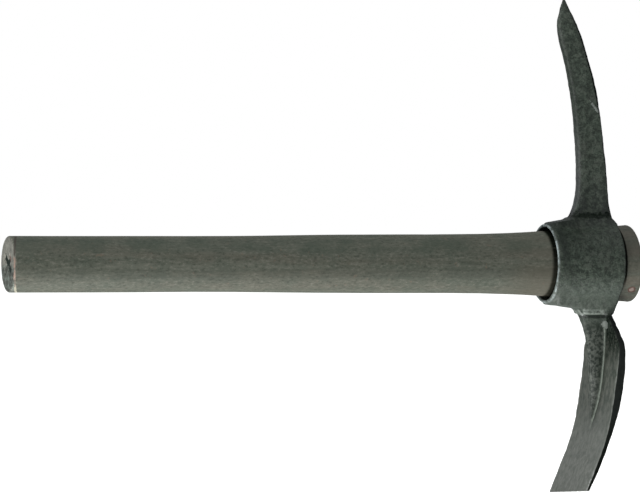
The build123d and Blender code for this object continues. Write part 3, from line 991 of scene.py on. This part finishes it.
class HelvePaint(Paint):
    """Thin matt olive-grey paint on hardwood: grain and specks show, with chips down to bare wood."""

    def __init__(self):
        super().__init__("olive_helve", HELVE_TONES)
        self.streak = self.noise(1.0, stretch=(26.0, 520.0, 520.0), detail=4.0, rough=0.6)
        self.broad = self.noise(1.0, stretch=(8.0, 120.0, 120.0), shift=4.0)
        self.pores = self.noise(1.0, stretch=(160.0, 1500.0, 1500.0), detail=2.0, shift=8.0)
        self.speck = self.noise(1.0, stretch=(380.0, 760.0, 760.0), detail=4.0, rough=0.7, shift=6.0)
        self.cloud = self.noise(60.0, detail=4.0, shift=7.0)
        self.crumbs = self.noise(420.0, shift=12.0)
        # How far a point lies to the right of the butt's centre in the main view.
        sideways = self.times(self.y, math.sin(CAMERA_AZIMUTH))
        self.right = self.plus(self.times(self.x, math.cos(CAMERA_AZIMUTH)), sideways)
        self.worn_end = self.times(self.spread(self.z, *WORN_END_Z), self.spread(self.x, *BUTT_END_X))

    def lay_paint(self):
        """The coat itself, with the wood's grain and pores in it."""
        self.base = self.mix(self.spread(self.streak, 0.3, 0.7), "paint_dark", "paint_light")
        self.fleck(self.broad, 0.42, 0.7, 0.4, "brown_streak")
        self.fleck(self.cloud, 0.44, 0.66, 0.4, "green_cloud")
        self.fleck(self.speck, 0.52, 0.68, 0.6, "speck_light")
        self.fleck(self.speck, 0.48, 0.34, 0.65, "speck_dark")
        self.fleck(self.pores, 0.6, 0.72, 0.5, "pore")
        self.fleck(self.noise(300.0, detail=2.0, shift=31.0), 0.66, 0.74, 0.35, "warm")

    def shade_sides(self):
        """Greener high on the side, darker low on it, and browner towards the head where it is handled."""
        upper = self.times(self.band(self.z, *UPPER_SIDE_Z), self.spread(self.cloud, 0.36, 0.58, 0.15, 0.55))
        self.coat(upper, "upper")
        lower = self.times(self.band(self.z, *LOWER_SIDE_Z), self.spread(self.cloud, 0.36, 0.6, 0.1, 0.4))
        self.coat(lower, "lower")
        brown = self.times(self.spread(self.x, *BROWN_X), self.spread(self.broad, 0.3, 0.65), 0.45)
        self.coat(brown, "brown")
        low = self.spread(self.z, *HANDLED_Z, 0.1, 0.6)
        self.coat(self.times(self.band(self.x, *HANDLED_X), low), "handled")

    def mark_seat(self):
        """The dark, scraped seat that the eye sits on, with painted shadow and some dirt at the eye's mouth
        and exit.
        """
        ragged = self.plus(self.x, self.times(self.math("SUBTRACT", self.streak, 0.5), RAGGED_REACH))
        seat = self.times(self.band(self.x, *SEAT_X), self.spread(self.streak, 0.32, 0.62, 0.45, 0.95))
        self.coat(seat, "seat")
        self.coat(self.times(seat, self.spread(self.broad, 0.56, 0.64, 0.0, 0.6)), "scraped")
        high = self.spread(self.z, *END_DIRT_Z, 0.0, 0.45)
        self.coat(self.times(self.spread(self.x, *END_DIRT_X), high), "dirt")
        # painted shadow, with some dirt, at the eye's mouth and exit, weaker low down at the exit
        mouth = self.times(self.spread(self.x, *MOUTH_X), self.spread(ragged, *MOUTH_INNER_X))
        mouth = self.times(mouth, self.spread(self.z, *MOUTH_Z, 0.86, 1.0))
        way_out = self.times(self.spread(self.x, *EXIT_X), self.spread(ragged, *EXIT_INNER_X))
        way_out = self.times(way_out, self.spread(self.z, *EXIT_Z, 0.1, 1.0))
        self.grime_and_shadow = self.times(self.most(mouth, way_out), self.spread(self.speck, 0.25, 0.6, 1.0, 0.96))
        self.coat(self.grime_and_shadow, "grime_and_shadow")

    def end_grain(self):
        """Tone of the sawn ends: pale streaked wood, with the lower half of the butt stained."""
        streak = self.noise(1.0, stretch=(60.0, 900.0, 160.0), shift=15.0)
        stain = self.noise(1.0, stretch=(300.0, 300.0, 420.0), rough=0.65, shift=27.0)
        lower = self.times(self.spread(self.z, *BUTT_LOWER_Z), self.spread(self.x, *BUTT_HALF_X))
        tone = self.mix(self.spread(streak, 0.38, 0.6), "end_dark", "end_light")
        tone = self.mix(self.times(lower, 0.66), tone, "end_lower")
        tone = self.mix(self.times(lower, self.spread(stain, 0.53, 0.42, 0.0, 0.55)), tone, "stain_dark")
        tone = self.mix(self.spread(self.speck, 0.47, 0.34, 0.0, 0.7), tone, "end_speck")
        return self.mix(self.times(lower, self.spread(stain, 0.54, 0.62, 0.0, 0.8)), tone, "stain_light")

    def mark_butt(self):
        """The end faces, and the spur's mark with one pale and one grey arm."""
        low = self.times(self.worn_end, self.spread(self.z, *WORN_IN_Z))
        worn_in = self.times(self.spread(self.right, *WORN_IN), low)
        self.coat(self.most(self.attribute("cap"), worn_in), self.end_grain())
        spur = self.attribute("spur")
        self.coat(self.spread(self.plus(spur, self.times(self.speck, 0.8)), 0.72, 1.1), "spur")
        up_near = self.times(self.spread(self.z, 0.5, 1.5), self.spread(self.y, -1.0, -2.0))
        self.coat(self.times(spur, up_near, 0.85), "pale_arm")
        down_far = self.times(self.spread(self.z, -0.5, -1.5), self.spread(self.y, 1.0, 2.0))
        self.coat(self.times(spur, down_far, 0.8), "grey_arm")

    def chip_edges(self):
        """Bare wood along the butt's lower edge, on far rims and in a chip at the top end, and painted shadow
        along the butt's upper rim.
        """
        line = self.band(self.right, *EDGE_LINE)
        bare = self.mix(self.spread(self.streak, 0.35, 0.65), "bare_dark", "bare_light")
        far_chip = self.times(self.attribute("rim"), self.spread(self.crumbs, 0.56, 0.62), 0.6)
        self.coat(far_chip, bare)
        # painted shadow along the upper part of the butt's near rim
        brown = self.times(line, self.spread(self.z, *RIM_SHADOW_Z), self.spread(self.x, *BUTT_END_X), 0.75)
        self.coat(brown, "painted_rim_shadow")
        bare = self.mix(self.spread(self.z, *PALE_BARE_Z), bare, "bare_pale")
        self.coat(self.times(line, self.worn_end, self.spread(self.crumbs, 0.4, 0.54, 0.12, 1.0)), bare)
        top_chip = self.plus(self.spot(TOP_CHIP, TOP_CHIP_SIZE), self.times(self.crumbs, 0.5))
        self.fleck(top_chip, 0.52, 0.66, 0.85, "chip_rim")
        self.fleck(top_chip, 0.86, 1.0, 0.9, "chip")

    def build(self):
        self.lay_paint()
        self.shade_sides()
        self.mark_seat()
        self.mark_butt()
        self.chip_edges()
        self.bump((self.streak, 0.3, 0.4), (self.pores, 0.3, 0.2), (self.speck, 0.45, 0.4))
        return self.finish(
            roughness=self.spread(self.streak, 0.3, 0.7, 0.58, 0.72),
            specular=0.35,
            ior=self.spread(self.grime_and_shadow, 0.0, 1.0, *GLOSSY_TO_MATT),
        )


def floor_paint():
    """Plain and pale, with a faint change of tone."""
    p = Paint("pale_floor", FLOOR_TONES)
    p.base = p.mix(p.noise(3.0), "dim", "bright")
    return p.finish(roughness=0.9, specular=0.1, ior=GLOSSY_TO_MATT[0])


# ---- build ----
def show(piece, material, node):
    """Puts a finished piece in the place of the CAD node, on the body of the same name."""
    piece.data.materials.append(material)
    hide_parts(node)
    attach(piece, node)


show(forge_head(), HeadPaint().build(), "head")
show(turn_helve(), HelvePaint().build(), "helve")


# ---- stage, in metres ----
def add_floor():
    z = CAD_LOW.z - FLOOR_DROP
    corners = [(x * FLOOR_SIZE, y * FLOOR_SIZE, z) for x, y in ((-1, -1), (1, -1), (1, 1), (-1, 1))]
    mesh = bpy.data.meshes.new("floor")
    mesh.from_pydata(corners, [], [(0, 1, 2, 3)])
    mesh.materials.append(floor_paint())
    floor = add_object("floor", mesh)
    floor.visible_shadow = False
    floor.visible_diffuse = False
    floor.visible_glossy = False
    return floor


def add_light(name, place, aim, size, power):
    lamp = bpy.data.lights.new(name, "AREA")
    lamp.shape = "RECTANGLE"
    lamp.size, lamp.size_y = size
    lamp.energy = power
    obj = add_object(name, lamp)
    obj.location = place
    obj.rotation_euler = (aim - place).to_track_quat("-Z", "Y").to_euler()
    obj.visible_camera = False


def add_floor_light(floor):
    """A sun that lights only the floor, so that it stays plain and pale out to the horizon."""
    only = bpy.data.collections.new("floor_only")
    only.objects.link(floor)
    lamp = bpy.data.lights.new("floor_sun", "SUN")
    lamp.energy = FLOOR_SUN
    obj = add_object("floor_sun", lamp)
    obj.light_linking.receiver_collection = only
    obj.light_linking.blocker_collection = only


def add_world():
    """White to the camera, dimmer to everything that is lit by it."""
    world = bpy.data.worlds.new("studio")
    world.use_nodes = True
    tree = world.node_tree
    tree.nodes.clear()
    output = tree.nodes.new("ShaderNodeOutputWorld")
    mix = tree.nodes.new("ShaderNodeMixShader")
    path = tree.nodes.new("ShaderNodeLightPath")
    tree.links.new(path.outputs["Is Camera Ray"], mix.inputs[0])
    for i, tone, strength in ((1, FILL_TONE, FILL_STRENGTH), (2, WHITE, 1.0)):
        background = tree.nodes.new("ShaderNodeBackground")
        background.inputs["Color"].default_value = tone
        background.inputs["Strength"].default_value = strength
        tree.links.new(background.outputs[0], mix.inputs[i])
    tree.links.new(mix.outputs[0], output.inputs["Surface"])
    bpy.context.scene.world = world


def add_camera(target):
    data = bpy.data.cameras.new("camera")
    data.lens = CAMERA_LENS
    data.sensor_width = SENSOR_WIDTH
    data.clip_end = 100.0
    camera = add_object("camera", data)
    direction = Vector((math.sin(CAMERA_AZIMUTH), -math.cos(CAMERA_AZIMUTH), 0.0))
    camera.location = target + CAMERA_DISTANCE * direction
    camera.rotation_euler = (math.pi / 2, 0.0, CAMERA_AZIMUTH)
    bpy.context.scene.camera = camera


centre = (CAD_LOW + CAD_HIGH) / 2
add_floor_light(add_floor())
add_world()
for name, direction, distance, size, power in LIGHTS:
    add_light(name, centre + distance * Vector(direction), centre, size, power)
add_camera(centre + TARGET_SHIFT)
bpy.context.scene.view_settings.view_transform = "Standard"
